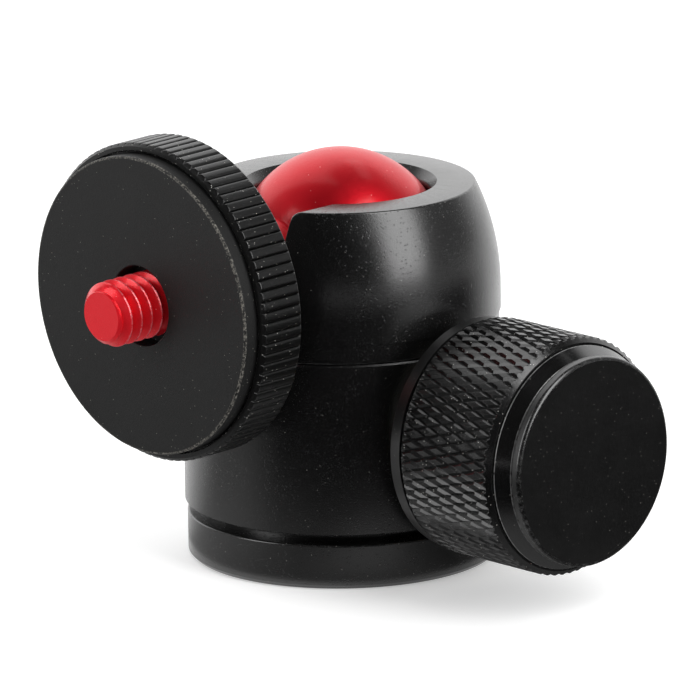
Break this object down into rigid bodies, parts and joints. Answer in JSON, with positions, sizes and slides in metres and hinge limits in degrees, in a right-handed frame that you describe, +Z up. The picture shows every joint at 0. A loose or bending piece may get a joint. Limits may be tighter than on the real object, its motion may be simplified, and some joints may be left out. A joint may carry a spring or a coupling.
{
  "type": "tripod ball head",
  "caption": "Small tripod ball head: barrel body with a drop notch, ball and stem, ribbed platform wheel with a camera screw and rubber pad, and a knurled side lock knob.",
  "frame": {"origin": "centre of the base's underside, on the body's axis, at the mouth of the tripod thread", "axes": "+Z up along the body's axis, +X out along the lock knob's axis, -Y out through the drop notch, where the stem lies at rest"},
  "size_m": [0.0488, 0.0464, 0.0441],
  "materials": {
    "black_anodised": "black anodised, satin",
    "red_anodised": "red anodised, satin gloss",
    "pad_rubber": "matte rubber",
    "brass": "turned",
    "plain_steel": "turned",
    "white_nylon": "moulded nylon"
  },
  "bodies": {
    "head_body": {"upper_housing": "black_anodised", "lower_housing": "black_anodised", "base_plug": "black_anodised", "thread_bush": "plain_steel", "clamp_bush": "brass", "seat_liner": "white_nylon", "lift_spring": "plain_steel"},
    "lift": {"lift_block": "brass", "ball_cup": "white_nylon"},
    "knob_slider": {"thrust_washer": "white_nylon"},
    "knob": {"clamp_screw": "plain_steel", "knob_core": "black_anodised", "knob_grip": "black_anodised", "knob_ring": "black_anodised", "knob_cap": "black_anodised", "lock_washer": "plain_steel", "fixing_screw": "plain_steel"},
    "ball_tilter": {"stem_washer": "white_nylon"},
    "ball_and_screw": {"ball": "red_anodised"},
    "pad": {"camera_pad": "pad_rubber"},
    "wheel": {"platform_wheel": "black_anodised"}
  },
  "joints": [
    {"name": "ball_tilt", "type": "hinge", "parent": "head_body", "child": "ball_tilter", "pos_m": [0, 0, 0.0293], "axis": [-1, 0, 0], "range_deg": [0, 117.2]},
    {"name": "ball_spin", "type": "hinge", "parent": "ball_tilter", "child": "ball_and_screw", "pos_m": [0, 0, 0.0293], "axis": [0, -0.9998, -0.0209], "continuous": true},
    {"name": "wheel_lift", "type": "slide", "parent": "ball_and_screw", "child": "pad", "axis": [0, -0.9998, -0.0209], "range_m": [0, 0.00127]},
    {"name": "wheel_turn", "type": "hinge", "parent": "pad", "child": "wheel", "pos_m": [0, 0, 0.0293], "axis": [0, -0.9998, -0.0209], "range_deg": [0, 360]},
    {"name": "knob_travel", "type": "slide", "parent": "head_body", "child": "knob_slider", "axis": [1, 0, 0], "range_m": [0, 0.00125]},
    {"name": "knob_turn", "type": "hinge", "parent": "knob_slider", "child": "knob", "pos_m": [0.0177, 0, 0.01466], "axis": [1, 0, 0], "range_deg": [0, 360]},
    {"name": "cup_lift", "type": "slide", "parent": "head_body", "child": "lift", "axis": [0, 0, 1], "range_m": [-0.00045497, 0], "deforming": ["lift_spring"]}
  ],
  "couplings": [
    {"joint": "wheel_turn", "follows": "wheel_lift", "rad_per_m": 4947.4},
    {"joint": "knob_turn", "follows": "knob_travel", "rad_per_m": 5026.5},
    {"joint": "cup_lift", "follows": "knob_travel", "ratio": -0.36397}
  ]
}
